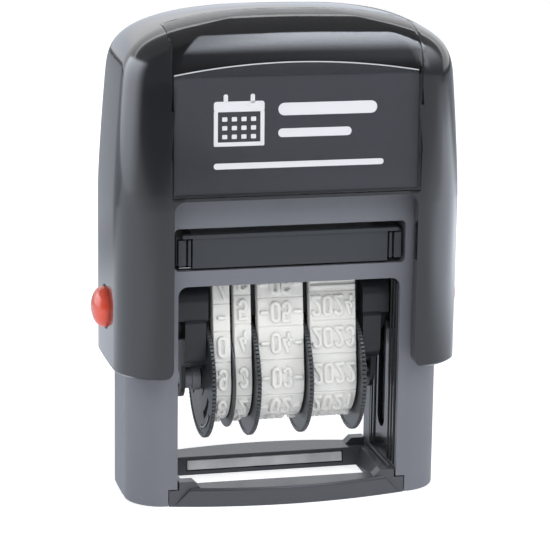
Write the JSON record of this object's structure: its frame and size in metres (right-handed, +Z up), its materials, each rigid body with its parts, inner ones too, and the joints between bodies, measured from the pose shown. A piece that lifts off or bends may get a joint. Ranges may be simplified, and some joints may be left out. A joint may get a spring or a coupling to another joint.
{
  "type": "self-inking date stamp",
  "caption": "Self-inking date stamp: gloss hood on a grey slotted base, flipping date unit with knurled thumb wheels and rubber date bands, slide-out ink pad, side lock buttons",
  "frame": {"origin": "Centre of the foot's footprint, on the surface that the stamp rests on.", "axes": "+Z up through the hood; the front, with the index card and the pad's face, looks towards -Y; +X is to the right seen from the front, along the wheel axle."},
  "size_m": [0.0712, 0.0324, 0.0928],
  "materials": {
    "grey_plastic": "satin moulded grey plastic, fine grain",
    "black_guide": "glossy black moulding with upright ribs",
    "foot_plastic": "dark grey polished moulding",
    "foot_clear": "clear moulded strip",
    "spring_steel": "bare spring wire",
    "cartridge_plastic": "dark satin moulding",
    "pad_felt": "ink-soaked felt",
    "hood_black": "high-gloss black moulding",
    "index_clear": "clear polished cover",
    "index_card": "printed dark card, pale line near its edge",
    "yoke_plastic": "dark moulding",
    "button_red": "orange-red moulding, slightly translucent",
    "carrier_black": "black moulding",
    "platen_plastic": "dark moulding",
    "axle_steel": "turned steel",
    "collar_grey": "grey moulding",
    "band_rubber": "off-white rubber with raised characters",
    "wheel_plastic": "dark grey moulding, knurled rim"
  },
  "bodies": {
    "base": {"base_housing": "grey_plastic", "side_guide_left": "black_guide", "side_guide_right": "black_guide", "foot_frame": "foot_plastic", "foot_window_front": "foot_clear", "foot_window_rear": "foot_clear", "return_spring": "spring_steel"},
    "pad": {"pad_cartridge": "cartridge_plastic", "ink_pad": "pad_felt"},
    "cap": {"cap_shell": "hood_black", "index_window": "index_clear", "index_card": "index_card", "cap_yoke": "yoke_plastic"},
    "button_left": {"button_left": "button_red"},
    "button_right": {"button_right": "button_red"},
    "date_unit": {"carrier_left": "carrier_black", "carrier_right": "carrier_black", "platen": "platen_plastic", "wheel_axle": "axle_steel", "axle_collar_left": "collar_grey", "axle_collar_right": "collar_grey", "band_divider": "wheel_plastic", "band_day_tens": "band_rubber", "band_day_units": "band_rubber", "band_month": "band_rubber", "band_year": "band_rubber"},
    "wheel_day_tens": {"wheel_day_tens": "wheel_plastic"},
    "wheel_day_units": {"wheel_day_units": "wheel_plastic"},
    "wheel_month": {"wheel_month": "wheel_plastic"},
    "wheel_year": {"wheel_year": "wheel_plastic"}
  },
  "joints": [
    {"name": "cap_press", "type": "slide", "parent": "base", "child": "cap", "axis": [0, 0, -1], "range_m": [0, 0.0208], "stiffness_N_per_m": 250, "springref_m": -0.012, "deforming": ["return_spring"]},
    {"name": "date_flip", "type": "hinge", "parent": "cap", "child": "date_unit", "pos_m": [0, 0, 0.033], "axis": [1, 0, 0], "range_deg": [0, 180]},
    {"name": "pad_slide", "type": "slide", "parent": "base", "child": "pad", "axis": [0, 1, 0], "range_m": [-0.02, 0]},
    {"name": "button_left_press", "type": "slide", "parent": "cap", "child": "button_left", "axis": [-1, 0, 0], "range_m": [-0.0018, 0], "stiffness_N_per_m": 400, "springref_m": 0.001},
    {"name": "button_right_press", "type": "slide", "parent": "cap", "child": "button_right", "axis": [1, 0, 0], "range_m": [-0.0018, 0], "stiffness_N_per_m": 400, "springref_m": 0.001},
    {"name": "day_tens_turn", "type": "hinge", "parent": "date_unit", "child": "wheel_day_tens", "pos_m": [-0.0143, 0, 0.0218], "axis": [1, 0, 0], "continuous": true},
    {"name": "day_units_turn", "type": "hinge", "parent": "date_unit", "child": "wheel_day_units", "pos_m": [-0.0057, 0, 0.0218], "axis": [1, 0, 0], "continuous": true},
    {"name": "month_turn", "type": "hinge", "parent": "date_unit", "child": "wheel_month", "pos_m": [0.0045, 0, 0.0218], "axis": [1, 0, 0], "continuous": true},
    {"name": "year_turn", "type": "hinge", "parent": "date_unit", "child": "wheel_year", "pos_m": [0.0148, 0, 0.0218], "axis": [1, 0, 0], "continuous": true}
  ],
  "couplings": [
    {"joint": "date_flip", "follows": "cap_press", "rad_per_m": 151.03}
  ]
}
